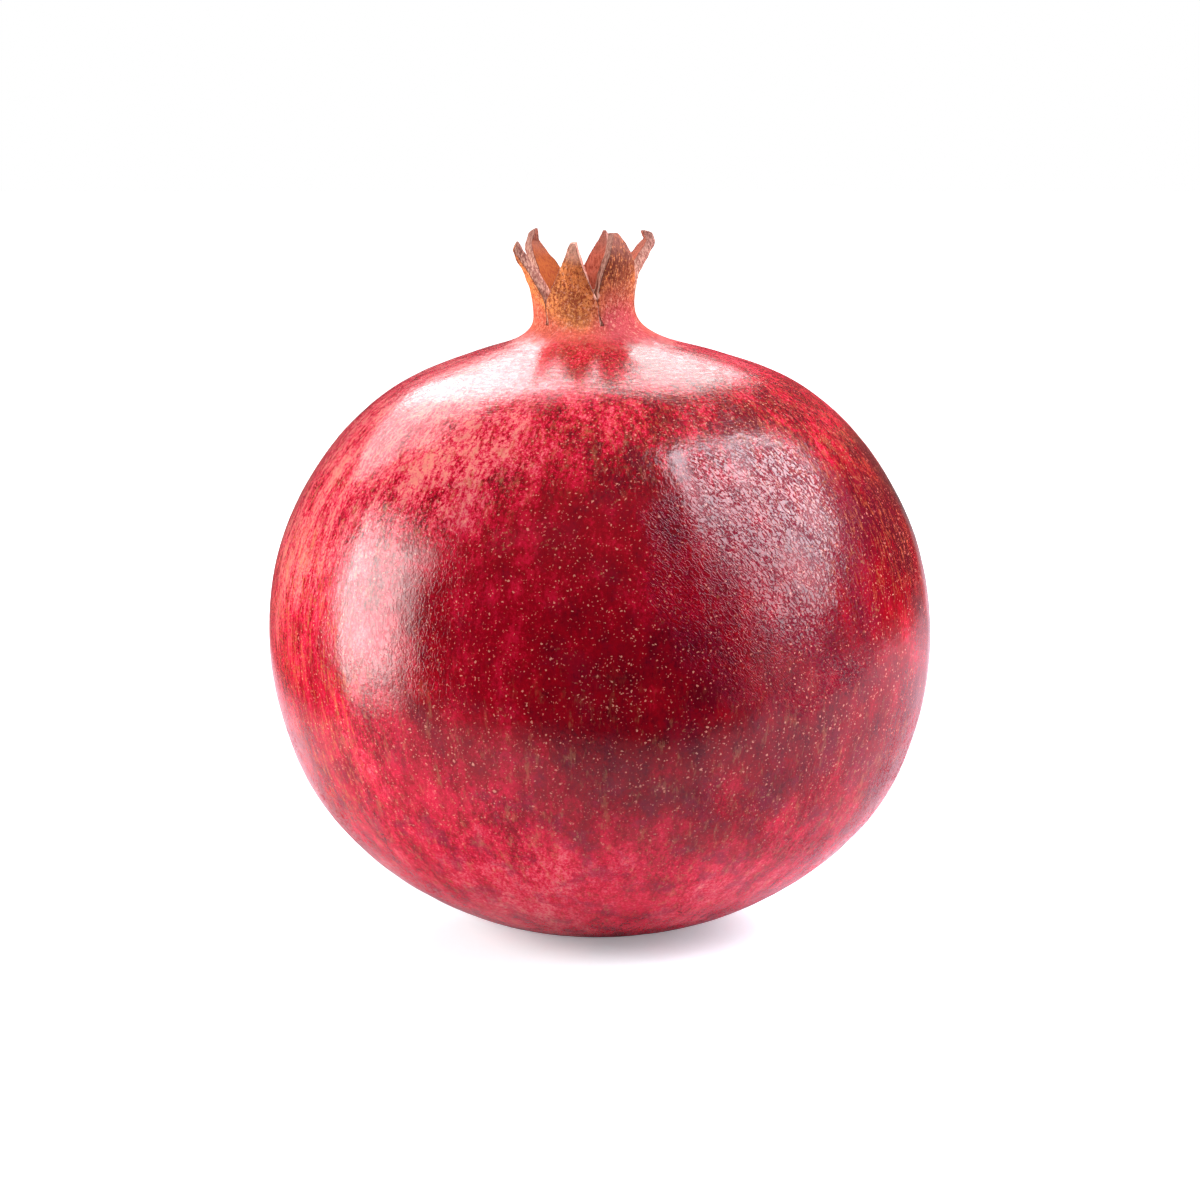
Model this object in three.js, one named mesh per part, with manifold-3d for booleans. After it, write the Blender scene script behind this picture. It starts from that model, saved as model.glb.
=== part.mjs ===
// A whole pomegranate standing on its flat spot, crown up, in millimetres with +Z up.
// The origin is the middle of the flat spot; the eater looks along +Y.
// Two pieces: the fruit with its crown, and the tuft of dried stamens inside the crown.
import * as THREE from "three";
import { mergeVertices } from "three/addons/utils/BufferGeometryUtils.js";
import Module from "manifold-3d";

// ---- Driving dimensions, in millimetres and degrees ----

// Half of the rind's outline as [radius, height], from the edge of the flat spot up to the foot of the slits.
const RIND = [
  [6, 0],
  [12.4, 0.95],
  [22.8, 4.3],
  [34.5, 11.3],
  [43.5, 21.3],
  [48.4, 33.3],
  [50, 45.3],
  [48.5, 57.3],
  [44.5, 67.3],
  [38.2, 76.3],
  [29.6, 83.3],
  [18.6, 87.6],
  [10.8, 90],
  [8.1, 92.2],
];
const WAIST = [7.6, 95.2]; // the narrowest place of the crown, where the lobes stand side by side
const CROWN_SHIFT = -2.3; // the crown grew a little to the left of the middle
const SHIFT_START = 85.5;
const [FOOT_RADIUS, FOOT_HEIGHT] = RIND.at(-1);

// The rind is not quite round: it bulges a little over the seed chambers, and is drawn askew one way below
// its widest part and the other way above it.
const CHAMBERS = 6;
const CHAMBER_BULGE = 0.45;
const CHAMBER_TURN = 15;
const SKEW = 0.8;
const THREE_SIDED = 0.6;

// The cup inside the crown, as [radius, height] from its rim down.
const TUBE_WALL = 2;
const CUP = [
  [5.7, 91.3],
  [4.8, 90.4],
  [3.2, 90],
];
const CUP_FLOOR = 89.9;

// The lobes, going round from the one left of the front. Each stands between two slits, in turns from there.
// spine: [radius, height] of its outer face above the waist. side: how far its end leans sideways.
// fullness: how late it narrows. end: half the width of its blunt end.
// slant: how much longer it is inside than outside, for each millimetre of its thickness.
const LOBES = [
  {
    slits: [-46, 16.5],
    spine: [[7.9, 98.8], [8.4, 101.8], [8.8, 104.2]],
    side: 0.7,
    fullness: 0.8,
    end: 0.45,
    slant: 0.15,
  },
  {
    slits: [16.5, 76],
    spine: [[8.1, 98.8], [8.6, 102.6], [7.7, 105.8]],
    side: -1.05,
    fullness: 2,
    end: 0.35,
    slant: 0.2,
  },
  {
    slits: [76, 137],
    spine: [[8.3, 99.6], [11, 104.2], [10.6, 105.5]],
    side: 0,
    fullness: 1.2,
    end: 0.5,
    slant: 0.5,
  },
  {
    slits: [137, 195],
    spine: [[8.4, 99.2], [9.6, 102.6], [10.4, 105]],
    side: -1,
    fullness: 1,
    end: 0.2,
    slant: 0.1,
  },
  {
    slits: [195, 254],
    spine: [[8.6, 98.8], [11.2, 103.4], [10.9, 105.2]],
    side: 0.6,
    fullness: 1,
    end: 0.3,
    slant: 0.8,
  },
  {
    slits: [254, 314],
    spine: [[8.8, 99.3], [10, 101.5], [10.8, 103]],
    side: 0,
    fullness: 1,
    end: 0.55,
    slant: 0.7,
  },
];
const SLIT_GAP = 0.24;
const SLIT_SHARE = 0.3; // part of a lobe's height along which the slits are only lines
const LOBE_END_THICKNESS = 1.3;
const LOBE_FLATTENING = 1.6; // how many times flatter a lobe is across its end than at its foot
const SLANT_SHARPNESS = 6; // keeps a lobe's slant to the last part of its height

// How finely the fruit is faceted.
const LOBE_COLUMNS = 8;
const ROWS_BETWEEN_POINTS = 4;

// The stamens: threads with a bead at the end, on a pad that fills the foot of the cup.
const PAD = [
  [0, 90.2],
  [3, 90.3],
  [4.3, 90.8],
  [4.9, 91.6],
  [4.2, 92.2],
  [0, 92.4],
];
const PAD_SIDES = 20;
const THREADS = 44;
const THREAD_RADIUS = 0.33;
const THREAD_SIDES = 5;
const THREAD_STEPS = 5;
const THREAD_FOOT = 91.6;
const THREAD_REACH = 4.9; // threads and beads stay within this radius, clear of the cup's wall
const FOOT_REACH = 4.1;
const THREAD_TOPS = [94.5, 97.4];
const THREAD_WANDER = [-0.5, 0.5]; // how far a top turns away from its foot, in radians
const THREAD_SPREAD = [0.75, 1.35]; // how much nearer to the wall a top is than its foot
const THREAD_BEND = [0.45, 0.6]; // where a thread bends, as shares of its way across and up
const BEAD_LENGTH = 1.1;
const BEAD_RADIUS = 0.45;
const STYLE = { radius: 0.6, top: 97.7, lean: [0.6, 0.9] };
const FRONT_THREAD = { turn: 17.5, reach: 5.1, top: 97.5 };
const SEED = 7;

// ---- Small helpers ----

const wasm = await Module();
wasm.setup();

const radians = THREE.MathUtils.degToRad;
const lerp = THREE.MathUtils.lerp;
const smoothstep = THREE.MathUtils.smoothstep;

/** A direction on the ground, turned from the front towards the right. */
function outward(turn) {
  return new THREE.Vector3(Math.sin(turn), -Math.cos(turn), 0);
}

/** A curve through [radius, height] points, as a Vector3 of radius and height. */
function outline(points) {
  return new THREE.CatmullRomCurve3(points.map(([r, z]) => new THREE.Vector3(r, 0, z)));
}

/** A repeatable source of numbers from 0 to 1. */
function seededDraws(seed) {
  let state = seed;
  return () => {
    state = (state * 16807) % 2147483647;
    return state / 2147483647;
  };
}

/** Whole numbers from 0 up to and without count. */
function upTo(count) {
  return [...Array(count).keys()];
}

// ---- Stitching rows of points into one closed skin ----

/** Collects triangles as plain points. */
class Skin {
  points = [];

  /** Two triangles between four corners, seen anticlockwise from outside. */
  quad(a, b, c, d) {
    this.points.push(a, b, c, a, c, d);
  }

  /** Joins each row to the next one above it; the rows run anticlockwise seen from above. */
  rows(rows, closed) {
    for (const i of upTo(rows.length - 1)) {
      const count = rows[i].length;
      for (const j of upTo(closed ? count : count - 1)) {
        const k = (j + 1) % count;
        this.quad(rows[i][j], rows[i][k], rows[i + 1][k], rows[i + 1][j]);
      }
    }
  }

  /** One welded geometry, without the triangles that have no area. */
  geometry() {
    const whole = mergeVertices(new THREE.BufferGeometry().setFromPoints(this.points), 1e-3);
    const index = whole.index.array;
    const kept = [];
    for (let i = 0; i < index.length; i += 3) {
      const [a, b, c] = index.slice(i, i + 3);
      if (a !== b && b !== c && c !== a) kept.push(a, b, c);
    }
    whole.setIndex(kept);
    return whole;
  }
}

// ---- The rind, from the flat spot to the foot of the slits ----

const rindCurve = outline([...RIND, WAIST]);

/** How far the fruit's own axis lies to the side at a height. */
function axisShift(height) {
  return CROWN_SHIFT * smoothstep(height, SHIFT_START, WAIST[1]);
}

/** How much the rind stands out from a perfect round at a turn and height. */
function unevenness(turn, height) {
  const climb = Math.PI * Math.min(height / SHIFT_START, 1);
  const chambers = CHAMBER_BULGE * Math.cos(CHAMBERS * (turn - radians(CHAMBER_TURN)));
  const askew = SKEW * Math.sin(2 * turn) + THREE_SIDED * Math.cos(3 * turn);
  return Math.sin(climb) * (chambers + askew * Math.cos(climb));
}

/** A point of the rind, at a place along the outline's points. */
function rindPoint(turn, place) {
  const { x: radius, z: height } = rindCurve.getPoint(place / RIND.length);
  const point = outward(turn).multiplyScalar(radius + unevenness(turn, height));
  return point.add(new THREE.Vector3(axisShift(height), 0, height));
}

// ---- The lobes of the crown ----

const SPINE_POINTS = 3 + LOBES[0].spine.length; // the lobe's own points and three of the rind's
const LOBE_ROWS = (SPINE_POINTS - 2) * ROWS_BETWEEN_POINTS;

/** A lobe's outer face seen from the side; it starts below the lobe, so that it leaves the rind smoothly. */
function lobeSpine(lobe) {
  return outline([RIND.at(-2), RIND.at(-1), WAIST, ...lobe.spine]);
}

/** Half of a lobe's width at a share of its height: full along the slits, then narrowing to the blunt end. */
function halfWidth(lobe, share) {
  const [from, to] = lobe.slits.map(radians);
  const footWidth = ((to - from) * FOOT_RADIUS - SLIT_GAP) / 2;
  const free = Math.max(0, (share - SLIT_SHARE) / (1 - SLIT_SHARE));
  return lerp(footWidth, lobe.end, free ** lobe.fullness);
}

/** A lobe's outer and inner point, across from -1 to 1 and along from 0 at its foot to 1 at its end. */
function lobeWall(lobe, spine, across, along) {
  const place = (1 + along * (SPINE_POINTS - 2)) / (SPINE_POINTS - 1);
  const { x: radius, z: height } = spine.getPoint(place);
  const slope = spine.getTangent(place);
  const share = (height - FOOT_HEIGHT) / (lobe.spine.at(-1)[1] - FOOT_HEIGHT);
  const roundness = FOOT_RADIUS * lerp(1, LOBE_FLATTENING, share);
  const bend = (across * halfWidth(lobe, share)) / roundness;
  const middle = outward(radians((lobe.slits[0] + lobe.slits[1]) / 2));
  const sideways = new THREE.Vector3(-middle.y, middle.x, 0);
  const outer = new THREE.Vector3(axisShift(height), 0, height)
    .addScaledVector(middle, radius - roundness * (1 - Math.cos(bend)))
    .addScaledVector(sideways, roundness * Math.sin(bend) + lobe.side * share ** 2);
  const normal = middle.clone().multiplyScalar(slope.z * Math.cos(bend));
  normal.addScaledVector(sideways, slope.z * Math.sin(bend)).setZ(-slope.x);
  const thickness = lerp(TUBE_WALL, LOBE_END_THICKNESS, share);
  const inner = outer.clone().addScaledVector(normal, -thickness);
  const lengthwise = middle.clone().multiplyScalar(slope.x).setZ(slope.z);
  inner.addScaledVector(lengthwise, lobe.slant * thickness * along ** SLANT_SHARPNESS);
  return { outer, inner };
}

/** Every wall point of a lobe, as rows from its foot to its end. */
function lobeWalls(lobe) {
  const spine = lobeSpine(lobe);
  return upTo(LOBE_ROWS + 1).map((row) =>
    upTo(LOBE_COLUMNS + 1).map((column) =>
      lobeWall(lobe, spine, (2 * column) / LOBE_COLUMNS - 1, row / LOBE_ROWS),
    ),
  );
}

/** Outer face, inner face, both edges and the end of one lobe. */
function addLobe(skin, walls) {
  const loops = walls.map((row) => [
    ...row.map((wall) => wall.outer),
    ...row.map((wall) => wall.inner).reverse(),
  ]);
  skin.rows(loops, true);
  const end = walls.at(-1);
  skin.rows([end.map((wall) => wall.outer), end.map((wall) => wall.inner)], false);
}

/** The floor of the slit between two lobes. */
function addSlitFloor(skin, left, right) {
  skin.quad(left.outer, right.outer, right.inner, left.inner);
}

// ---- The fruit: rind, cup and lobes in one skin ----

/** The turn of a foot point about the crown's own axis. */
function turnOf(point) {
  return Math.atan2(point.x - axisShift(point.z), -point.y);
}

/** The rind's rows, from the middle of the flat spot to the given foot points. */
function rindRows(foot) {
  const last = (RIND.length - 1) * ROWS_BETWEEN_POINTS;
  const turns = foot.map(turnOf);
  const rows = upTo(last).map((row) => turns.map((turn) => rindPoint(turn, row / ROWS_BETWEEN_POINTS)));
  return [turns.map(() => new THREE.Vector3()), ...rows, foot];
}

const CUP_SHIFT = axisShift(FOOT_HEIGHT);

/** The cup's rows, from the middle of its floor up to the given rim points. */
function cupRows(rim) {
  const turns = rim.map(turnOf);
  const rings = CUP.map(([radius, height]) =>
    turns.map((turn) => outward(turn).multiplyScalar(radius).add(new THREE.Vector3(CUP_SHIFT, 0, height))),
  );
  const middle = new THREE.Vector3(CUP_SHIFT, 0, CUP_FLOOR);
  return [turns.map(() => middle), ...rings.reverse(), rim];
}

function fruitGeometry() {
  const skin = new Skin();
  const lobes = LOBES.map(lobeWalls);
  for (const [i, walls] of lobes.entries()) {
    addLobe(skin, walls);
    addSlitFloor(skin, walls[0].at(-1), lobes[(i + 1) % lobes.length][0][0]);
  }
  const feet = lobes.flatMap((walls) => walls[0]);
  skin.rows(rindRows(feet.map((wall) => wall.outer)), true);
  const cup = cupRows(feet.map((wall) => wall.inner));
  skin.rows(cup.map((row) => [...row].reverse()), true);
  return skin.geometry();
}

// ---- The tuft of stamens ----

/** A closed geometry as a solid that can be joined to others. */
function solidOf(geometry) {
  const bare = geometry.clone().deleteAttribute("normal").deleteAttribute("uv");
  const welded = mergeVertices(bare, 1e-4);
  const vertProperties = welded.attributes.position.array;
  const triVerts = new Uint32Array(welded.index.array);
  return new wasm.Manifold(new wasm.Mesh({ numProp: 3, vertProperties, triVerts }));
}

/** A joined solid as a geometry. */
function geometryOf(solid) {
  const { vertProperties, triVerts } = solid.getMesh();
  const geometry = new THREE.BufferGeometry();
  geometry.setAttribute("position", new THREE.BufferAttribute(vertProperties, 3));
  geometry.setIndex(new THREE.BufferAttribute(triVerts, 1));
  return geometry;
}

/** The pad at the foot of the cup, which the threads stand on. */
function padSolid() {
  const profile = PAD.map(([radius, height]) => new THREE.Vector2(radius, height));
  const pad = new THREE.LatheGeometry(profile, PAD_SIDES).rotateX(Math.PI / 2);
  return solidOf(pad.translate(CUP_SHIFT, 0, 0));
}

/** A thread along a curve. */
function threadSolid(curve, radius) {
  const turns = upTo(THREAD_SIDES).map((side) => (2 * Math.PI * side) / THREAD_SIDES);
  const corners = turns.map((turn) => new THREE.Vector2(radius * Math.cos(turn), radius * Math.sin(turn)));
  const options = { steps: THREAD_STEPS, extrudePath: curve };
  return solidOf(new THREE.ExtrudeGeometry(new THREE.Shape(corners), options));
}

/** The dried bead at the end of a thread. */
function beadSolid(end, direction) {
  const bead = new THREE.IcosahedronGeometry(BEAD_RADIUS);
  bead.scale(1, 1, BEAD_LENGTH / (2 * BEAD_RADIUS));
  const turn = new THREE.Quaternion().setFromUnitVectors(new THREE.Vector3(0, 0, 1), direction);
  return solidOf(bead.applyQuaternion(turn).translate(end.x, end.y, end.z));
}

/** A bent thread from its foot on the pad to its top. */
function threadCurve(footTurn, footReach, topTurn, topReach, top) {
  const foot = outward(footTurn).multiplyScalar(footReach).add(new THREE.Vector3(CUP_SHIFT, 0, THREAD_FOOT));
  const end = outward(topTurn).multiplyScalar(topReach).add(new THREE.Vector3(CROWN_SHIFT, 0, top));
  const bend = foot.clone().lerp(end, THREAD_BEND[0]).setZ(lerp(THREAD_FOOT, top, THREAD_BEND[1]));
  return new THREE.QuadraticBezierCurve3(foot, bend, end);
}

/** The seeded crowd of threads: evenly spread feet, and tops that lean a little their own way. */
function threadCurves() {
  const draw = seededDraws(SEED);
  const goldenTurn = Math.PI * (3 - Math.sqrt(5));
  const crowd = upTo(THREADS).map((i) => {
    const turn = i * goldenTurn;
    const reach = FOOT_REACH * Math.sqrt((i + 0.5) / THREADS);
    const topTurn = turn + lerp(...THREAD_WANDER, draw());
    const topReach = Math.min(THREAD_REACH - BEAD_RADIUS, reach * lerp(...THREAD_SPREAD, draw()));
    return threadCurve(turn, reach, topTurn, topReach, lerp(...THREAD_TOPS, draw()));
  });
  const turn = radians(FRONT_THREAD.turn);
  const front = threadCurve(turn, FOOT_REACH, turn, FRONT_THREAD.reach, FRONT_THREAD.top);
  return [...crowd, front];
}

function stamensGeometry() {
  const foot = new THREE.Vector3(CUP_SHIFT, 0, THREAD_FOOT);
  const top = new THREE.Vector3(CROWN_SHIFT + STYLE.lean[0], STYLE.lean[1], STYLE.top);
  let tuft = padSolid().add(threadSolid(new THREE.LineCurve3(foot, top), STYLE.radius));
  for (const curve of threadCurves()) {
    tuft = tuft.add(threadSolid(curve, THREAD_RADIUS));
    tuft = tuft.add(beadSolid(curve.getPoint(1), curve.getTangent(1)));
  }
  return geometryOf(tuft);
}

// ---- The whole pomegranate ----

const rind = new THREE.MeshStandardMaterial({ color: 0xa8182c, roughness: 0.3, metalness: 0 });
const driedThread = new THREE.MeshStandardMaterial({ color: 0xb98a5c, roughness: 0.85, metalness: 0 });

const pomegranate = new THREE.Group();
for (const [name, geometry, material] of [
  ["fruit", fruitGeometry(), rind],
  ["stamens", stamensGeometry(), driedThread],
]) {
  const piece = new THREE.Mesh(geometry, material);
  piece.name = name;
  pomegranate.add(piece);
}

export default pomegranate;
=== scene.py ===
"""The looks of a ripe pomegranate: its rind with the calyx crown, and the dried stamens inside the crown.

Everything is in metres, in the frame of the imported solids: the fruit rests on the ground at the origin,
its crown points up +Z and its front faces -Y. The finishes' patterns are laid out in millimetres.
"""

import logging
import math
import random
from contextlib import contextmanager
from dataclasses import dataclass
from enum import Enum
from typing import Iterator, Sequence, Union

import bmesh
import bpy
import numpy as np
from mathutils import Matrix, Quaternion, Vector

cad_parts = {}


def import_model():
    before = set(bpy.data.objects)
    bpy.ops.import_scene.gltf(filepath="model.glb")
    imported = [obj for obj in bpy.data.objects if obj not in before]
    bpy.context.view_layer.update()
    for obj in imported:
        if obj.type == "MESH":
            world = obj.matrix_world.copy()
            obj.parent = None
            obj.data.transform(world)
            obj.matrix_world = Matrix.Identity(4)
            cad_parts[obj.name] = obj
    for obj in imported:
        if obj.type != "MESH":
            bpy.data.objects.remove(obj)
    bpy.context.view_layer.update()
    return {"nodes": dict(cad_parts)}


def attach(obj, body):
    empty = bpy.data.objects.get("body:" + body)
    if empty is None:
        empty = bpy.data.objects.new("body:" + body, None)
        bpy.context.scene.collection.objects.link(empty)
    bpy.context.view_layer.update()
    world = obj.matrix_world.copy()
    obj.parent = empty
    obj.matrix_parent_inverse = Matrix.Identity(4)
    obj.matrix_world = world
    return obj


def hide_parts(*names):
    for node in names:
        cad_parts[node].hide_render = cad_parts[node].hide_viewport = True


Triple = tuple[float, float, float]
Colour = Triple
Edge = tuple[float, float]
Value = Union["Wire", float]
Paint = Union["Wire", Colour]
Thing = bpy.types.Object

LOG = logging.getLogger("pomegranate")
MM = 0.001
FRUIT_MIDDLE = 0.045
FRUIT_RADIUS_MM = 50.0
CROWN_AXIS_X = -0.0023
# The rind unrolled: how wide its rings are at least, and how much they widen with the distance from the axis.
LEAST_RING_MM = 22.0
RING_GROWTH = 0.56
EVEN: Triple = (1.0, 1.0, 1.0)
HALVES: Triple = (0.5, 0.5, 0.5)
WHITE: Colour = (1.0, 1.0, 1.0)
MAROON: Colour = (0.085, 0.0008, 0.0050)
BRUISE_AND_CREASE_SHADE: Colour = (0.145, 0.006, 0.026)
OLIVE: Colour = (0.34, 0.16, 0.07)


class Slot(Enum):
    """The record's material slots."""

    RIND = "rind"
    STAMEN = "stamen"


def direction(turn: float, rise: float) -> Triple:
    """A direction in degrees: turned from the front towards the right, and raised above the level."""
    turned, raised = math.radians(turn), math.radians(rise)
    return math.sin(turned) * math.cos(raised), -math.cos(turned) * math.cos(raised), math.sin(raised)


@dataclass(frozen=True)
class Wire:
    """An output of a node. Sums, differences and products of wires add the Math nodes that work them out."""

    bench: "Bench"
    socket: bpy.types.NodeSocket

    def __add__(self, other: Value) -> "Wire":
        """This plus other."""
        return self.bench.maths("ADD", self, other)

    def __radd__(self, other: Value) -> "Wire":
        """Other plus this."""
        return self.bench.maths("ADD", other, self)

    def __sub__(self, other: Value) -> "Wire":
        """This less other."""
        return self.bench.maths("SUBTRACT", self, other)

    def __rsub__(self, other: Value) -> "Wire":
        """Other less this."""
        return self.bench.maths("SUBTRACT", other, self)

    def __mul__(self, other: Value) -> "Wire":
        """This times other."""
        return self.bench.maths("MULTIPLY", self, other)

    def __rmul__(self, other: Value) -> "Wire":
        """Other times this."""
        return self.bench.maths("MULTIPLY", other, self)

    def step(self, low: float, high: float) -> "Wire":
        """A soft step.

        Args:
            low: the value at which it is 0.
            high: the value at which it is 1, which may lie below low.

        Returns:
            A number from 0 to 1.
        """
        inputs = {"Value": self, "From Min": min(low, high), "From Max": max(low, high)}
        made = self.bench.out("ShaderNodeMapRange", 0, {"interpolation_type": "SMOOTHSTEP"}, inputs)
        return 1.0 - made if low > high else made

    def blend(self, first: Paint, second: Paint) -> "Wire":
        """Two colours mixed: first where this is 0, second where it is 1."""
        inputs = {0: self, 6: first, 7: second}
        return self.bench.out("ShaderNodeMix", 2, {"data_type": "RGBA"}, inputs)


class Bench:
    """The node tree of a material, a light or the studio's world, on which its looks are wired."""

    def __init__(self, owner: bpy.types.Material | bpy.types.Light | bpy.types.World) -> None:
        """Clears the owner's node tree.

        Args:
            owner: what the tree belongs to.
        """
        self.owner = owner
        owner.use_nodes = True
        self.tree = owner.node_tree
        self.tree.nodes.clear()

    def node(self, kind: str, settings: dict | None = None, inputs: dict | None = None) -> bpy.types.Node:
        """Adds a node, sets it up and feeds its sockets.

        Args:
            kind: the node's type.
            settings: its own settings, set first; "stops" are a ramp's places and colours.
            inputs: values or wires, by socket name or number.

        Returns:
            The node.
        """
        made = self.tree.nodes.new(kind)
        for key, value in (settings or {}).items():
            if key == "stops":
                self._set_stops(made.color_ramp, value)
            else:
                setattr(made, key, value)
        for key, value in (inputs or {}).items():
            if isinstance(value, Wire):
                self.tree.links.new(value.socket, made.inputs[key])
            elif isinstance(value, tuple) and made.inputs[key].type == "RGBA":
                made.inputs[key].default_value = (*value, 1.0)
            else:
                made.inputs[key].default_value = value
        return made

    @staticmethod
    def _set_stops(ramp: bpy.types.ColorRamp, stops: Sequence[tuple[float, Colour]]) -> None:
        """Gives a ramp its places and colours.

        Args:
            ramp: the ramp.
            stops: places from 0 to 1 with their colours, lowest first.
        """
        while len(ramp.elements) < len(stops):
            ramp.elements.new(1.0)
        for element, (place, colour) in zip(ramp.elements, stops):
            element.position = place
            element.color = (*colour, 1.0)

    def out(
        self, kind: str, socket: str | int, settings: dict | None = None, inputs: dict | None = None
    ) -> Wire:
        """Adds a node and returns the output with that name or number."""
        return Wire(self, self.node(kind, settings, inputs).outputs[socket])

    def split(self, place: Wire) -> list[Wire]:
        """A vector's three parts."""
        made = self.node("ShaderNodeSeparateXYZ", None, {0: place})
        return [Wire(self, part) for part in made.outputs]

    def maths(self, operation: str, first: Value, second: Value = 0.0) -> Wire:
        """One Math node on values."""
        return self.out("ShaderNodeMath", 0, {"operation": operation}, {0: first, 1: second})

    def vector(self, operation: str, first: Wire | Triple, second: Wire | Triple = (0.0, 0.0, 0.0)) -> Wire:
        """One Vector Math node on vectors."""
        output = "Value" if operation in ("DOT_PRODUCT", "LENGTH", "DISTANCE") else "Vector"
        return self.out("ShaderNodeVectorMath", output, {"operation": operation}, {0: first, 1: second})

    def cells(self, place: Wire, size_mm: float) -> tuple[Wire, Wire, Wire]:
        """Scattered points, one to a cell of size_mm.

        Args:
            place: where, in millimetres.
            size_mm: the cells' size.

        Returns:
            The distance to the nearest point in millimetres, and two random numbers of that point.
        """
        made = self.node("ShaderNodeTexVoronoi", {"feature": "F1"}, {"Vector": place, "Scale": 1.0 / size_mm})
        away = Wire(self, made.outputs["Distance"]) * size_mm
        parts = self.node("ShaderNodeSeparateColor", None, {0: Wire(self, made.outputs["Color"])})
        return away, Wire(self, parts.outputs[0]), Wire(self, parts.outputs[1])

    def carried(self, name: str) -> Wire:
        """A value that the piece's own mesh carries under that name."""
        return self.out("ShaderNodeAttribute", "Fac", {"attribute_name": name})

    def bump(self, height: Wire, depth: float) -> Wire:
        """The surface's normal, bumped by a height of up to depth."""
        return self.out("ShaderNodeBump", 0, None, {"Distance": depth, "Height": height})

    def finish(self, inputs: dict, dull: dict | None = None, dulled: Value = 0.0) -> bpy.types.Material:
        """Closes a material with one surface shader, or with a dull one over part of it.

        Args:
            inputs: the shader's sockets' values and wires.
            dull: what the dull shader has otherwise.
            dulled: where the surface is dull, from 0 to 1.

        Returns:
            The material.
        """
        shader = self.out("ShaderNodeBsdfPrincipled", 0, None, inputs)
        if dull:
            matt = self.out("ShaderNodeBsdfPrincipled", 0, None, {**inputs, **dull})
            shader = self.out("ShaderNodeMixShader", 0, None, {0: dulled, 1: shader, 2: matt})
        self.node("ShaderNodeOutputMaterial", None, {0: shader})
        return self.owner


@dataclass(frozen=True)
class Grain:
    """A noise pattern about 0.5: lumps to a millimetre, levels of detail, roughness and stretch."""

    per_mm: float
    detail: float = 2.0
    rough: float = 0.5
    stretch: Triple = EVEN

    def at(self, place: Wire) -> Wire:
        """The pattern at a place in millimetres."""
        stretched = place if self.stretch == EVEN else place.bench.vector("MULTIPLY", place, self.stretch)
        inputs = {"Vector": stretched, "Scale": self.per_mm, "Detail": self.detail, "Roughness": self.rough}
        return place.bench.out("ShaderNodeTexNoise", "Fac", None, inputs)

    def swing(self, place: Wire) -> Wire:
        """The pattern at a place, less its middle value."""
        return self.at(place) - 0.5


@dataclass(frozen=True)
class Places:
    """The coordinates that the rind's patterns follow, in millimetres.

    meridian is the point unrolled, so that patterns run from pole to pole without crowding there.
    """

    bench: Bench
    point: Wire
    facing: Wire
    height: Wire
    across: Wire
    meridian: Wire

    @classmethod
    def on(cls, bench: Bench) -> "Places":
        """Works the coordinates out from Object coordinates.

        Args:
            bench: the material being wired.

        Returns:
            The coordinates.
        """
        raw = bench.out("ShaderNodeTexCoord", "Object")
        point = bench.vector("MULTIPLY", raw, (1.0 / MM,) * 3)
        middle = FRUIT_MIDDLE / MM
        from_middle = bench.vector("SUBTRACT", point, (0.0, 0.0, middle))
        facing = bench.vector("NORMALIZE", from_middle)
        level = bench.vector("MULTIPLY", from_middle, (1.0, 1.0, 0.0))
        across = bench.vector("LENGTH", level)
        height = bench.out("ShaderNodeSeparateXYZ", "Z", None, {0: point})
        latitude = bench.maths("ARCTAN2", height - middle, across) * FRUIT_RADIUS_MM
        ring = bench.vector("MULTIPLY", bench.vector("NORMALIZE", level), (LEAST_RING_MM, LEAST_RING_MM, 0.0))
        ring = bench.vector("ADD", ring, bench.vector("MULTIPLY", level, (RING_GROWTH, RING_GROWTH, 0.0)))
        along = bench.out("ShaderNodeCombineXYZ", 0, None, {2: latitude})
        return cls(bench, point, facing, height, across, bench.vector("ADD", ring, along))

    def away_from(self, spot: Triple) -> Wire:
        """The distance to a spot."""
        return self.bench.vector("DISTANCE", self.point, spot)

    def along(self, way: Triple) -> Wire:
        """How far the point lies along a direction."""
        return self.bench.vector("DOT_PRODUCT", self.point, way)

    def stir(self, per_mm: float, amount: float, detail: float) -> Wire:
        """Noise that pushes in any direction.

        Args:
            per_mm: its lumps to a millimetre.
            amount: how strong it is.
            detail: its levels of detail.

        Returns:
            The push, a vector about nothing.
        """
        inputs = {"Vector": self.point, "Scale": per_mm, "Detail": detail}
        noise = self.bench.out("ShaderNodeTexNoise", "Color", None, inputs)
        return self.bench.vector("MULTIPLY", self.bench.vector("SUBTRACT", noise, HALVES), (amount,) * 3)

    def stirred(self, per_mm: float, amount: float, detail: float) -> Wire:
        """The direction from the fruit's middle, stirred so that patches have uneven edges."""
        pushed = self.bench.vector("ADD", self.facing, self.stir(per_mm, amount, detail))
        return self.bench.vector("NORMALIZE", pushed)


@dataclass(frozen=True)
class Patch:
    """A soft patch of the rind: where it faces and how far it reaches, in degrees, and how strong it is."""

    turn: float
    rise: float
    reach: float
    strength: float = 1.0

    def mask(self, facing: Wire) -> Wire:
        """The patch's strength over the rind, which fades out at its reach.

        Args:
            facing: the direction from the fruit's middle, already broken up by noise.

        Returns:
            The strength.
        """
        near = facing.bench.vector("DOT_PRODUCT", facing, direction(self.turn, self.rise))
        return near.step(math.cos(math.radians(self.reach)), 1.0) * self.strength


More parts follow.
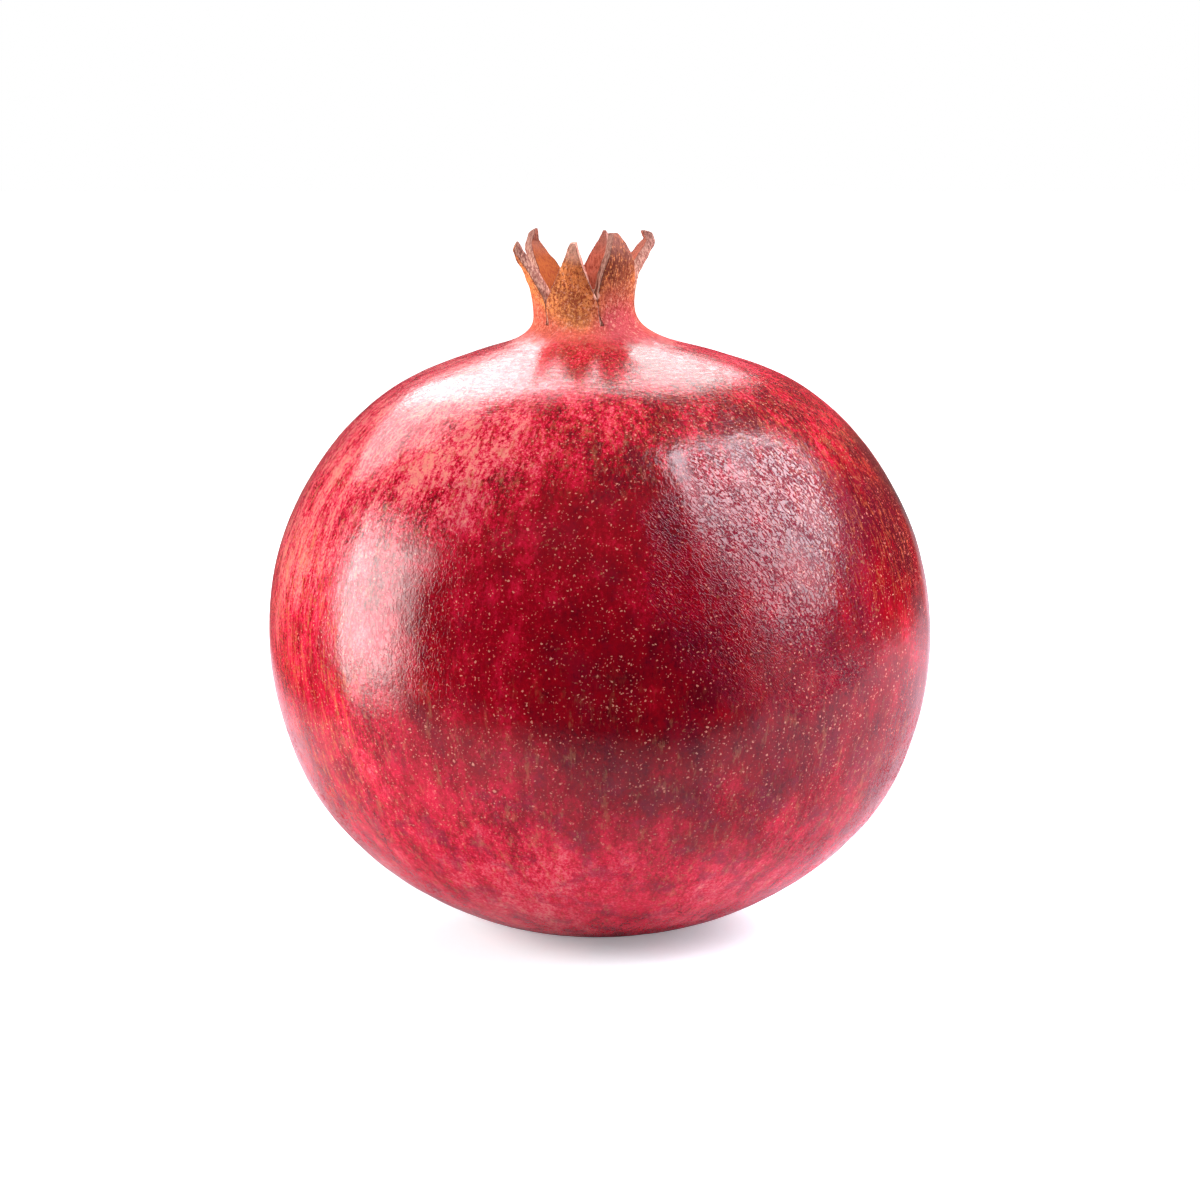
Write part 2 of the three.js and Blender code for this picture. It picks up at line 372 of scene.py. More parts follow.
@dataclass(frozen=True)
class SkinPaint:
    """The skin without its pores: tan to coral, red, crimson and maroon, streaked from pole to pole."""

    tan_flush: Colour = (0.58, 0.17, 0.13)
    coral: Colour = (0.57, 0.072, 0.102)
    red: Colour = (0.50, 0.006, 0.031)
    crimson: Colour = (0.220, 0.0010, 0.0058)
    streak: Colour = (0.50, 0.13, 0.045)
    stops: tuple[float, ...] = (0.05, 0.26, 0.47, 0.70, 0.95)
    plain_ripeness: float = 0.50
    patches: tuple[Patch, ...] = (
        Patch(8, 6, 54, 0.27), Patch(-2, -25, 22, -0.12), Patch(-46, 46, 44, -0.17),
        Patch(-88, 16, 34, -0.15), Patch(-9, 24, 16, -0.05), Patch(-66, -8, 24, 0.12),
        # Patch(-70, -34, 26, 0.08) is painted shade, darkening the lower left.
        Patch(-70, -34, 26, 0.08), Patch(14, 52, 32, 0.13), Patch(6, 60, 30, 0.09),
        Patch(0, 69, 15, 0.12), Patch(60, 36, 32, 0.27), Patch(72, 8, 34, 0.26), Patch(34, 2, 24, 0.10),
        Patch(48, -22, 26, 0.12), Patch(4, -58, 26, 0.03), Patch(2, -44, 20, 0.09),
        Patch(150, 8, 52, 0.22), Patch(-150, 40, 46, -0.20), Patch(-120, -20, 36, 0.12),
        Patch(120, 45, 34, -0.12),
    )
    streaked: tuple[Patch, ...] = (
        Patch(62, 34, 40, 0.36), Patch(-70, -4, 34, 0.9), Patch(-170, 20, 50, 0.8), Patch(-4, 64, 42, 0.30),
    )
    drift: Grain = Grain(0.045, 3.0, 0.55)
    drift_force: float = 0.30
    streaks: Grain = Grain(0.26, 3.0, 0.62, (1.0, 1.0, 0.22))
    threads: Grain = Grain(1.7, 3.0, 0.75, (1.0, 1.0, 0.32))
    grains: Grain = Grain(2.3, 2.0, 0.8)
    clouds: Grain = Grain(0.13, 4.0, 0.62)
    blots: Grain = Grain(0.34, 3.0, 0.6, (1.0, 1.0, 0.6))
    lines: Grain = Grain(1.3, 4.0, 0.7, (1.0, 1.0, 0.24))
    bands: Grain = Grain(1.6, 3.0, 0.7, (1.0, 1.0, 0.14))
    bruises: Grain = Grain(0.19, 5.0, 0.72)
    flecks: Grain = Grain(0.7, 4.0, 0.75, (1.0, 1.0, 0.32))

    def colour(self, places: Places) -> Wire:
        """The skin's colour without its pores.

        Args:
            places: the rind's coordinates.

        Returns:
            The colour.
        """
        bench = places.bench
        clouds, grains = self.clouds.swing(places.point), self.grains.swing(places.point)
        base = self._ripeness(places)
        upper = (places.height + clouds * 12.0).step(68.0, 79.0) * 0.75
        raw = bench.maths("MAXIMUM", base.step(0.66, 0.38), upper)
        raw = raw * (places.height.step(12.0, 40.0) * 0.6 + 0.4)
        calm = places.height.step(92.0, 80.0) * 0.6 + 0.4
        ripeness = base + self.streaks.swing(places.meridian) * (raw * 1.25 + 0.20) * calm
        ripeness = ripeness + self.threads.swing(places.meridian) * (raw * 1.4 + 0.30)
        ripeness = ripeness + (clouds * 0.54 + self.blots.swing(places.meridian) * 0.42) * calm
        ripeness = ripeness + grains * (raw * 1.05 + 0.45) + 0.02
        stops = list(zip(self.stops, (self.tan_flush, self.coral, self.red, self.crimson, MAROON)))
        colour = bench.out("ShaderNodeValToRGB", "Color", {"stops": stops}, {0: ripeness})
        broken = grains.step(-0.12, 0.10)
        lines = self.lines.at(places.meridian).step(0.55, 0.67) * raw
        colour = (lines * broken * 0.8).blend(colour, self.tan_flush)
        banded = self.streaked[0].mask(places.facing)
        for patch in self.streaked[1:]:
            banded = bench.maths("MAXIMUM", banded, patch.mask(places.facing))
        bands = self.bands.at(places.meridian).step(0.50, 0.64) * banded.step(0.0, 0.6)
        colour = (bands * broken * 0.75).blend(colour, self.streak)
        low = places.height.step(44.0, 20.0) * 0.6 + 0.25
        bruises = self.bruises.at(places.point).step(0.49, 0.63) * low
        colour = (bruises * 0.66).blend(colour, BRUISE_AND_CREASE_SHADE)
        flecks = bench.maths("MAXIMUM", raw, places.height.step(52.0, 34.0) * 0.6)
        flecks = flecks * self.flecks.at(places.meridian).step(0.54, 0.68)
        return (flecks * places.height.step(86.0, 74.0) * 0.45).blend(colour, OLIVE)

    def _ripeness(self, places: Places) -> Wire:
        """How ripe the skin is over the large forms, from 0, tan, to 1, maroon, with painted shade on the
        lower left.

        Args:
            places: the rind's coordinates.

        Returns:
            The ripeness.
        """
        facing = places.stirred(0.05, 0.7, 3.0)
        plain = self.plain_ripeness - self.drift_force / 2
        ripeness = self.drift.at(places.point) * self.drift_force + plain
        for patch in self.patches:
            ripeness = ripeness + patch.mask(facing)
        ripeness = ripeness - places.height.step(72.0, 90.0) * 0.05
        return ripeness - places.height.step(26.0, 6.0) * 0.11


@dataclass(frozen=True)
class Pores:
    """Pale pores over the skin: many fine ones, some large ones in dark rings, and clumps of olive scurf."""

    pale: Colour = (0.62, 0.235, 0.165)
    pale_fine: Colour = (0.52, 0.13, 0.10)
    fine_cell: float = 0.66
    tiny_cell: float = 0.50
    large_cell: float = 2.9
    soft: Edge = (0.05, -0.03)
    shake: float = 0.5
    shake_per_mm: float = 2.4
    crowding: Grain = Grain(0.11)
    scurf: Grain = Grain(1.15, 2.0, 0.6)
    scurf_places: Grain = Grain(0.19)

    def over(self, places: Places, skin: Wire) -> Wire:
        """Lays the pores over the skin.

        Args:
            places: the rind's coordinates.
            skin: the colour under them.

        Returns:
            The colour with its pores.
        """
        bench = places.bench
        place = bench.vector("ADD", places.point, places.stir(self.shake_per_mm, self.shake, 1.0))
        crowding = self.crowding.at(places.point)
        fewer = places.height.step(12.0, 36.0) * 0.65 + 0.35
        away, size, luck = bench.cells(place, self.fine_cell)
        fine = (away - size * size * 0.08 - 0.080).step(*self.soft)
        fine = fine * (luck + crowding * 0.9).step(0.84, 1.02)
        away, _, luck = bench.cells(place, self.tiny_cell)
        tiny = (away - 0.080).step(*self.soft) * (luck + crowding * 0.6).step(0.56, 0.84)
        away, size, luck = bench.cells(place, self.large_cell)
        radius = size * size * size * 0.19 + 0.07
        large = (away - radius).step(0.08, -0.05) * luck.step(0.57, 0.63)
        ring = (away - radius * 1.9).step(0.25, -0.1) * luck.step(0.5, 0.6)
        scurf = self.scurf.at(place).step(0.60, 0.70)
        scurf = scurf * self.scurf_places.at(places.point).step(0.56, 0.70)
        skin = (ring * 0.45).blend(skin, MAROON)
        skin = (scurf * 0.42).blend(skin, OLIVE)
        skin = (tiny * fewer * 0.75).blend(skin, self.pale_fine)
        pores = bench.maths("MAXIMUM", fine * 0.80, large) * fewer
        return (pores * 0.80).blend(skin, self.pale)


@dataclass(frozen=True)
class CalyxPaint:
    """The calyx: a coral neck, orange to olive lobes stippled with dark red, and pale dry edges beside
    painted shade.
    """

    neck: Colour = (0.64, 0.13, 0.078)
    orange: Colour = (0.72, 0.24, 0.072)
    olive: Colour = (0.62, 0.25, 0.080)
    fleck: Colour = (0.78, 0.42, 0.28)
    dark_red: Colour = (0.20, 0.024, 0.014)
    brown: Colour = (0.110, 0.024, 0.014)
    blush: Colour = (0.32, 0.036, 0.060)
    lining: Colour = (0.31, 0.078, 0.018)
    lining_red: Colour = (0.52, 0.125, 0.074)
    rim_pale: Colour = (0.70, 0.38, 0.28)
    rim_brown: Colour = (0.30, 0.10, 0.075)
    rim_painted_shade: Colour = (0.070, 0.022, 0.018)
    dry_end: Colour = (0.24, 0.105, 0.085)
    front_lobe: Triple = (-4.0, -10.5, 97.0)
    front_tip: Triple = (-4.0, -10.5, 104.0)
    blushed: Triple = (6.0, -8.0, 93.0)
    withered: Triple = (2.6, -10.0, 101.5)
    bead: Triple = (-0.3, 0.0, 96.6)
    drift: Grain = Grain(0.17, 3.0, 0.6)
    fibre: Grain = Grain(1.0, 3.0, 0.7, (3.4, 3.4, 0.7))
    stipple: Grain = Grain(2.7, 2.0, 0.8)
    flecks: Grain = Grain(1.5, 3.0, 0.8)
    ragged: Grain = Grain(1.3)

    def colour(self, places: Places) -> Wire:
        """The colour of the neck, the lobes' two sides and their edges.

        Args:
            places: the rind's coordinates.

        Returns:
            The colour.
        """
        bench = places.bench
        drift, fibre = self.drift.at(places.point), self.fibre.at(places.point)
        colour = self._outer(places, drift, fibre)
        from_tip = places.away_from(self.front_tip)
        colour = (from_tip.step(4.2, 2.2) * 0.8).blend(colour, self.rim_pale)
        others = from_tip.step(3.5, 7.0)
        dry = (places.height + drift * 9.0).step(100.5, 107.5) * (others * 0.8 + 0.2)
        colour = (dry * fibre.step(0.40, 0.56) * 0.80).blend(colour, self.brown)
        lining = places.along((1.0, 0.0, 0.0)).step(-4.5, -2.5).blend(self.lining, self.lining_red)
        lining = (fibre.step(0.44, 0.64) * 0.65).blend(lining, self.dark_red)
        colour = bench.carried("hollow").blend(colour, lining)
        rim = bench.carried("rim") + self.ragged.swing(places.point) * 0.24
        striped = (fibre.step(0.44, 0.56) * 0.85).blend(self.rim_pale, self.rim_brown)
        # Painted shade: a dark band where the lobes' faces turn into their edges and slits.
        colour = rim.step(0.16, 0.36).blend(colour, self.rim_painted_shade)
        colour = (rim.step(0.44, 0.60) * (1.0 - dry * 0.30)).blend(colour, striped)
        flat = bench.vector("MULTIPLY", places.point, (1.0, 0.0, 1.0))
        bead = bench.vector("DISTANCE", flat, self.bead).step(0.62, 0.38)
        bead = bead * places.along((0.0, 1.0, 0.0)).step(-4.0, -5.0)
        colour = bead.blend(colour, self.rim_pale)
        ends = (places.height + drift * 5.0).step(103.5, 107.5) * others * 0.65
        return ends.blend(colour, self.dry_end)

    def _outer(self, places: Places, drift: Wire, fibre: Wire) -> Wire:
        """The neck and the lobes' outer faces, with their blush, stipple, flecks and withered spot.

        Args:
            places: the rind's coordinates.
            drift: slow noise.
            fibre: fine noise along the lobes.

        Returns:
            The colour.
        """
        lobe = drift.step(0.42, 0.60).blend(self.orange, self.olive)
        ahead = places.away_from(self.front_lobe).step(9.0, 5.0)
        above = (places.height + drift * 5.0 + ahead * 3.4).step(95.8, 99.8)
        colour = above.blend(self.neck, lobe)
        colour = (fibre.step(0.40, 0.62) * 0.35).blend(colour, self.dark_red)
        blush = (places.away_from(self.blushed) + drift * 4.0).step(10.5, 6.0)
        colour = (blush * 0.75).blend(colour, self.blush)
        stipple = (self.stipple.at(places.point) + (drift - 0.5) * 0.45).step(0.46, 0.54)
        thick = places.height.step(90.0, 96.0) * 0.42 + 0.38
        colour = (stipple * thick).blend(colour, self.dark_red)
        colour = (self.flecks.at(places.point).step(0.55, 0.64) * 0.35).blend(colour, self.fleck)
        withered = (places.away_from(self.withered) + drift * 3.0).step(8.4, 4.6)
        return (withered * fibre.step(0.36, 0.50) * 0.90).blend(colour, self.brown)


@dataclass(frozen=True)
class Leather:
    """Fine folds like those of leather: slanting on the right, in rings on the shoulder, else upright."""

    slant: float = -42.0
    slanting: Grain = Grain(1.70, 2.0, 0.55, (0.54, 1.0, 1.2))
    slanting_width: float = 0.100
    upright: Grain = Grain(1.45, 2.0, 0.55, (1.0, 1.0, 0.50))
    ringed: Grain = Grain(1.30, 2.0, 0.55)
    ring_stretch: Triple = (0.34, 0.34, 0.0)
    width: float = 0.085
    side: Patch = Patch(33, 17, 30)
    left: Patch = Patch(-41, 8, 28)
    patches: Grain = Grain(0.12, 1.0)
    shoulder_edge: Grain = Grain(0.2, 0.0)

    def folds(self, places: Places) -> tuple[Wire, Wire]:
        """Where the folds are.

        Args:
            places: the rind's coordinates.

        Returns:
            1 on the level and 0 along the folds, and how leathery the skin is there.
        """
        bench = places.bench
        rotation = (0.0, math.radians(self.slant), 0.0)
        turned = bench.out("ShaderNodeMapping", 0, None, {"Vector": places.point, "Rotation": rotation})
        slanting = self._valleys(self.slanting, turned, self.slanting_width)
        upright = self._valleys(self.upright, places.meridian, self.width)
        outward = bench.out("ShaderNodeCombineXYZ", 0, None, {2: places.across - places.height})
        rings = bench.vector("ADD", bench.vector("MULTIPLY", places.point, self.ring_stretch), outward)
        ringed = self._valleys(self.ringed, rings, self.width)
        stirred = places.stirred(0.12, 0.28, 1.0)
        side = self.side.mask(stirred).step(0.05, 0.45)
        left = self.left.mask(stirred).step(0.0, 0.5)
        shoulder = (places.height + self.shoulder_edge.at(places.point) * 8.0).step(80.0, 88.0)
        folds = slanting * side + upright * (1.0 - side)
        folds = ringed * shoulder + folds * (1.0 - shoulder)
        patchy = self.patches.at(places.point).step(0.40, 0.62)
        low = places.height.step(44.0, 26.0) * (patchy * 0.35 + 0.25)
        leather = side * (patchy * 0.30 + 0.70) + left * 0.28 + shoulder * 0.34 + low + patchy * 0.10
        return folds, bench.maths("MINIMUM", leather, 1.0)

    @staticmethod
    def _valleys(grain: Grain, place: Wire, width: float) -> Wire:
        """Level ground cut by narrow winding valleys: 1 on the level and 0 along the valleys."""
        return place.bench.maths("ABSOLUTE", grain.swing(place)).step(0.0, width)


@dataclass(frozen=True)
class RindFinish:
    """Waxy rind with a pebbled, finely folded surface and painted shade in its folds, a dry papery crown and
    the scar of the stem.
    """

    skin: SkinPaint = SkinPaint()
    pores: Pores = Pores()
    calyx: CalyxPaint = CalyxPaint()
    leather: Leather = Leather()
    scar: Colour = (0.16, 0.085, 0.04)
    scar_edge: Grain = Grain(0.8, 3.0, 0.6)
    calyx_edge: Grain = Grain(0.5, 3.0, 0.6)
    gloss: float = 0.085
    gloss_noise: Grain = Grain(0.35)
    ior: float = 1.46
    relief: float = 0.055 * MM
    pebbles: Grain = Grain(0.95)
    crumbs: Grain = Grain(2.2, 1.0)
    wrinkles: Grain = Grain(1.0, 3.0, 0.7, (2.2, 2.2, 0.6))

    def make(self) -> bpy.types.Material:
        """Wires the finish.

        Returns:
            The material.
        """
        bench = Bench(bpy.data.materials.new("rind_waxy"))
        places = Places.on(bench)
        on_calyx = (places.height + self.calyx_edge.at(places.point) * 3.0).step(90.0, 93.4)
        folds, leather = self.leather.folds(places)
        folded = (1.0 - folds) * leather
        high = places.height.step(72.0, 84.0)
        skin = self.pores.over(places, self.skin.colour(places))
        # Painted crease shade: the skin is darkened along the folds, less so on the shoulder.
        skin = (folded * (1.0 - high * 0.8) * 0.42).blend(skin, BRUISE_AND_CREASE_SHADE)
        colour = on_calyx.blend(skin, self.calyx.colour(places))
        near_stem = (places.across + self.scar_edge.swing(places.point) * 3.0).step(6.2, 4.6)
        rough = self.gloss + self.gloss_noise.at(places.point) * 0.05 + high * 0.08 + on_calyx * 0.45
        shine = {
            "Base Color": (near_stem * places.height.step(4.0, 2.0)).blend(colour, self.scar),
            "Roughness": rough,
            "IOR": self.ior,
            "Normal": self._relief(places, on_calyx, folds, leather),
        }
        dulled = bench.maths("MAXIMUM", folded, on_calyx * 0.85)
        return bench.finish(shine, {"Specular IOR Level": 0.0}, dulled)

    def _relief(self, places: Places, on_calyx: Wire, folds: Wire, leather: Wire) -> Wire:
        """The surface's small relief: pebbles, folds and the calyx's wrinkles.

        Args:
            places: the rind's coordinates.
            on_calyx: where the calyx is.
            folds: 1 on the level and 0 along the folds.
            leather: how leathery the skin is.

        Returns:
            The bumped normal.
        """
        crumbs = self.crumbs.at(places.point) * (leather * 0.35 + 0.05)
        height = self.pebbles.at(places.point) * 0.66 + folds * (leather * 0.30 + 0.06) + crumbs
        height = height + self.wrinkles.at(places.point) * on_calyx * 4.0
        return places.bench.bump(height, self.relief)


@dataclass(frozen=True)
class StamenFinish:
    """Dry papery threads, straw at the foot and brown at the tips."""

    straw: Colour = (0.62, 0.40, 0.20)
    brown: Colour = (0.26, 0.12, 0.05)
    bead: Colour = (0.74, 0.58, 0.42)
    mottle: Grain = Grain(1.6, 3.0, 0.6)
    relief: float = 0.05 * MM

    def make(self) -> bpy.types.Material:
        """Wires the finish.

        Returns:
            The material.
        """
        bench = Bench(bpy.data.materials.new("stamen_dry"))
        places = Places.on(bench)
        mottle = self.mottle.at(places.point)
        tips = (places.height + mottle * 1.5).step(93.5, 97.5)
        thread = mottle.step(0.42, 0.62).blend(self.straw, self.brown)
        tip = mottle.step(0.52, 0.64).blend(self.bead, self.straw)
        looks = {"Base Color": tips.blend(thread, tip), "Roughness": 0.6 + mottle * 0.2}
        return bench.finish({**looks, "Normal": bench.bump(mottle, self.relief)})


def pick(piece: Thing) -> None:
    """Deselects everything, then selects one piece and makes it the active one.

    Args:
        piece: the piece.
    """
    bpy.ops.object.select_all(action="DESELECT")
    piece.select_set(True)
    bpy.context.view_layer.objects.active = piece


@contextmanager
def edited(piece: Thing, select_all: bool = True) -> Iterator[None]:
    """Holds a piece in edit mode.

    Args:
        piece: the piece.
        select_all: whether all of it is selected at first, or none of it.
    """
    pick(piece)
    bpy.ops.object.mode_set(mode="EDIT")
    bpy.ops.mesh.select_all(action="SELECT" if select_all else "DESELECT")
    yield
    bpy.ops.object.mode_set(mode="OBJECT")


def apply_modifier(piece: Thing, name: str) -> None:
    """Applies one modifier."""
    pick(piece)
    bpy.ops.object.modifier_apply(modifier=name)


def vectors_of(items: bpy.types.bpy_prop_collection, field: str) -> np.ndarray:
    """Reads a mesh's points or normals.

    Args:
        items: the mesh's points or its normals.
        field: what each is called there.

    Returns:
        A row for each.
    """
    found = np.empty(len(items) * 3, np.float32)
    items.foreach_get(field, found)
    return found.reshape(-1, 3)


def smooth_step(values: np.ndarray, low: float, high: float) -> np.ndarray:
    """0 at low, 1 at high and smooth between."""
    share = np.clip((values - low) / (high - low), 0.0, 1.0)
    return share * share * (3.0 - 2.0 * share)


def carry(piece: Thing, name: str, values: np.ndarray) -> None:
    """Lets the piece's mesh carry one number a point, under a name."""
    made = piece.data.attributes.new(name, "FLOAT", "POINT")
    made.data.foreach_set("value", values.astype(np.float32))


def group(piece: Thing, name: str, weights: np.ndarray) -> str:
    """Gives the piece a vertex group with a weight for each point.

    Args:
        piece: the piece.
        name: the group's name.
        weights: from 0 to 1, one a point.

    Returns:
        The group's name.
    """
    made = piece.vertex_groups.new(name=name)
    rounded = np.round(weights, 2)
    for weight in np.unique(rounded):
        if weight > 0:
            made.add(np.nonzero(rounded == weight)[0].tolist(), float(weight), "REPLACE")
    return name


@dataclass(frozen=True)
class Clouds:
    """A cloud pattern that moves the skin in and out: its depth from lowest to highest, and its size."""

    name: str
    depth: float
    size: float

    def press(self, piece: Thing, where: str) -> None:
        """Presses the pattern into a piece.

        Args:
            piece: the piece.
            where: the vertex group it acts on.
        """
        clouds = bpy.data.textures.new(self.name, "CLOUDS")
        clouds.noise_scale = self.size
        made = piece.modifiers.new(self.name, "DISPLACE")
        made.texture = clouds
        made.texture_coords = "LOCAL"
        made.strength = self.depth
        made.vertex_group = where
        apply_modifier(piece, self.name)


@dataclass
class Rind:
    """The fruit's skin with the calyx tube and its six lobes, grown as one piece."""

    solid: Thing
    merge_gap: float = 0.01 * MM
    bent_quads: float = 50.0
    skewed_quads: float = 60.0
    sharp_angle: float = 42.0
    crease: float = 0.45
    rounds: int = 2
    swell: Clouds = Clouds("swell", 0.32 * MM, 22.0 * MM)
    dimple: Clouds = Clouds("dimple", 0.10 * MM, 3.2 * MM)
    wrinkle: Clouds = Clouds("wrinkle", 0.34 * MM, 1.5 * MM)
    body_ends: Edge = (0.086, 0.095)
    crown_starts: Edge = (0.094, 0.099)
    neck_ends: Edge = (0.0895, 0.0915)
    lobes_start: Edge = (0.0950, 0.0968)
    tube_starts: Edge = (0.089, 0.090)
    facing_in: Edge = (0.1, 0.5)
    neck_rim: float = 0.9

    def build(self) -> Thing:
        """Makes the piece and dresses it.

        Returns:
            The finished piece.
        """
        piece = self._copy_of_solid()
        self._knit(piece)
        self._round(piece)
        self._mark(piece)
        self._relief(piece)
        piece.data.materials.clear()
        piece.data.materials.append(RindFinish().make())
        pick(piece)
        bpy.ops.object.shade_smooth()
        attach(piece, "root")
        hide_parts("fruit")
        return piece

    def _copy_of_solid(self) -> Thing:
        """Copies the solid.

        Returns:
            A loose copy, to be worked on.
        """
        piece = self.solid.copy()
        piece.data = self.solid.data.copy()
        piece.name = piece.data.name = "rind_and_crown"
        piece.parent = None
        for key in list(piece.keys()):
            del piece[key]
        bpy.context.scene.collection.objects.link(piece)
        return piece

    def _knit(self, piece: Thing) -> None:
        """Joins the loose triangles into one closed skin of four-sided faces with its sharp edges creased.

        Args:
            piece: the copy.
        """
        bent, skewed = math.radians(self.bent_quads), math.radians(self.skewed_quads)
        pick(piece)
        bpy.ops.mesh.customdata_custom_splitnormals_clear()
        with edited(piece):
            bpy.ops.mesh.remove_doubles(threshold=self.merge_gap)
            bpy.ops.mesh.tris_convert_to_quads(face_threshold=bent, shape_threshold=skewed)
            bpy.ops.mesh.select_mode(type="EDGE")
            bpy.ops.mesh.select_all(action="DESELECT")
            bpy.ops.mesh.edges_select_sharp(sharpness=math.radians(self.sharp_angle))
            bpy.ops.transform.edge_crease(value=self.crease)

    def _round(self, piece: Thing) -> None:
        """Rounds the skin off by subdivision.

        Args:
            piece: the knitted skin.
        """
        made = piece.modifiers.new("round", "SUBSURF")
        made.levels = made.render_levels = self.rounds
        apply_modifier(piece, made.name)

    def _mark(self, piece: Thing) -> None:
        """Marks where the lobes' cut edges and the tube's inside are, for the finish.

        Args:
            piece: the rounded skin.
        """
        points = vectors_of(piece.data.vertices, "co")
        normals = vectors_of(piece.data.vertex_normals, "vector")
        level = points[:, :2] - np.array([CROWN_AXIS_X, 0.0])
        away = np.linalg.norm(level, axis=1)
        outward = (normals[:, :2] * level / np.maximum(away, 1e-6)[:, None]).sum(axis=1)
        sideways = np.sqrt(np.clip(1.0 - outward**2 - normals[:, 2] ** 2, 0.0, 1.0))
        lobe_rim = (1.0 - np.abs(outward)) * smooth_step(points[:, 2], *self.lobes_start)
        slit_rim = sideways * smooth_step(points[:, 2], *self.neck_ends) * self.neck_rim
        inside = smooth_step(-outward, *self.facing_in) * smooth_step(points[:, 2], *self.tube_starts)
        carry(piece, "rim", np.maximum(lobe_rim, slit_rim))
        carry(piece, "hollow", inside)

    def _relief(self, piece: Thing) -> None:
        """Gives the skin its gentle swells and dimples, and the dry crown its wrinkles.

        Args:
            piece: the marked skin.
        """
        height = vectors_of(piece.data.vertices, "co")[:, 2]
        body = group(piece, "body", 1.0 - smooth_step(height, *self.body_ends))
        crown = group(piece, "crown", smooth_step(height, *self.crown_starts))
        self.swell.press(piece, body)
        self.dimple.press(piece, body)
        self.wrinkle.press(piece, crown)


@dataclass(frozen=True)
class Course:
    """A thread's turn about the axis in radians, its foot's and tip's distance from it, height and girth."""

    turn: float
    foot: float
    tip: float
    top: float
    girth: float


